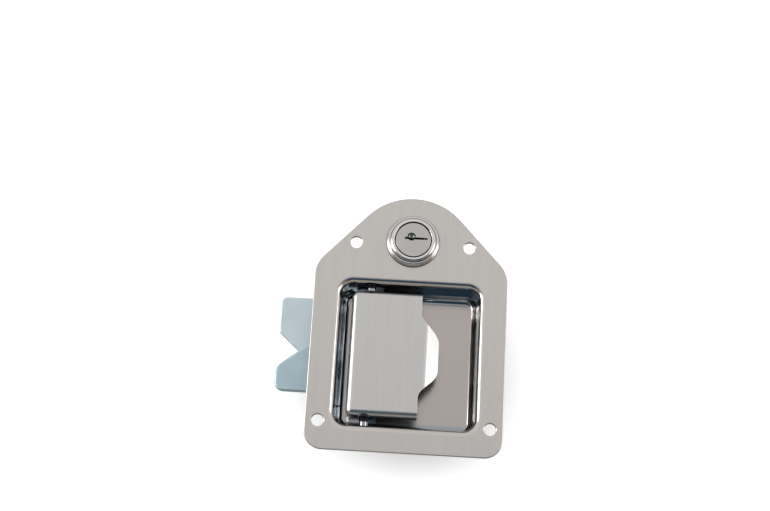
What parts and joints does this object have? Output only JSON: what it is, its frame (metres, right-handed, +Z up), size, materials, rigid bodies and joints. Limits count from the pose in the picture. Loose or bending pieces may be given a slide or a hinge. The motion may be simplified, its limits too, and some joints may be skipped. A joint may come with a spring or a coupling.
{
  "type": "paddle latch",
  "caption": "Flush stainless paddle latch: domed flange, drawn dish, hinged paddle with a finger tab, keyed cam lock and two slam jaws that close on a striker.",
  "frame": {"origin": "centre of the drawn dish, on the plane of the flange's back where it seats on the door skin", "axes": "+Y into the door, away from the user; +Z up, towards the lock; +X to the user's right"},
  "size_m": [0.1019, 0.0345, 0.1157],
  "materials": {
    "stainless": "brushed, satin",
    "pin_steel": "bright turned steel",
    "spring_steel": "drawn spring wire",
    "lock_chrome": "polished chrome plate",
    "lock_satin": "satin chrome plate",
    "wafer_brass": "stamped",
    "zinc_plate": "zinc plated, blue passivated"
  },
  "bodies": {
    "frame": {"faceplate": "stainless", "paddle_pin": "pin_steel", "pin_push_nut": "pin_steel", "paddle_spring": "spring_steel", "lock_housing": "lock_chrome", "lock_washer": "zinc_plate", "lock_nut": "zinc_plate", "pivot_rivets": "pin_steel", "pivot_bushings": "pin_steel", "spacer_rings": "zinc_plate", "back_plate": "zinc_plate", "plate_rivets": "pin_steel", "spring_post": "pin_steel", "jaw_spring": "spring_steel"},
    "paddle": {"paddle": "stainless"},
    "upper_jaw": {"upper_jaw": "zinc_plate"},
    "lower_jaw": {"lower_jaw": "zinc_plate"},
    "key_barrel": {"lock_plug": "lock_satin", "lock_wafers": "wafer_brass", "lock_cam": "zinc_plate", "cam_washer": "zinc_plate", "cam_screw": "zinc_plate"}
  },
  "joints": [
    {"name": "paddle_pull", "type": "hinge", "parent": "frame", "child": "paddle", "pos_m": [-0.0175, 0.0052, 0], "axis": [0, 0, -1], "range_deg": [0, 25], "stiffness_Nm_per_rad": 0.12, "springref_deg": -22.92, "deforming": ["paddle_spring", "jaw_spring"]},
    {"name": "upper_jaw_open", "type": "hinge", "parent": "frame", "child": "upper_jaw", "pos_m": [-0.018, 0.0213, 0.0122], "axis": [0, 1, 0], "range_deg": [0, 20.5]},
    {"name": "lower_jaw_open", "type": "hinge", "parent": "frame", "child": "lower_jaw", "pos_m": [-0.018, 0.0185, -0.0038], "axis": [0, -1, 0], "range_deg": [0, 16]},
    {"name": "key_turn", "type": "hinge", "parent": "frame", "child": "key_barrel", "pos_m": [0, 0.01, 0.0514], "axis": [0, 1, 0], "range_deg": [0, 90]}
  ],
  "couplings": [
    {"joint": "upper_jaw_open", "follows": "paddle_pull", "ratio": 0.82},
    {"joint": "lower_jaw_open", "follows": "paddle_pull", "ratio": 0.64}
  ]
}
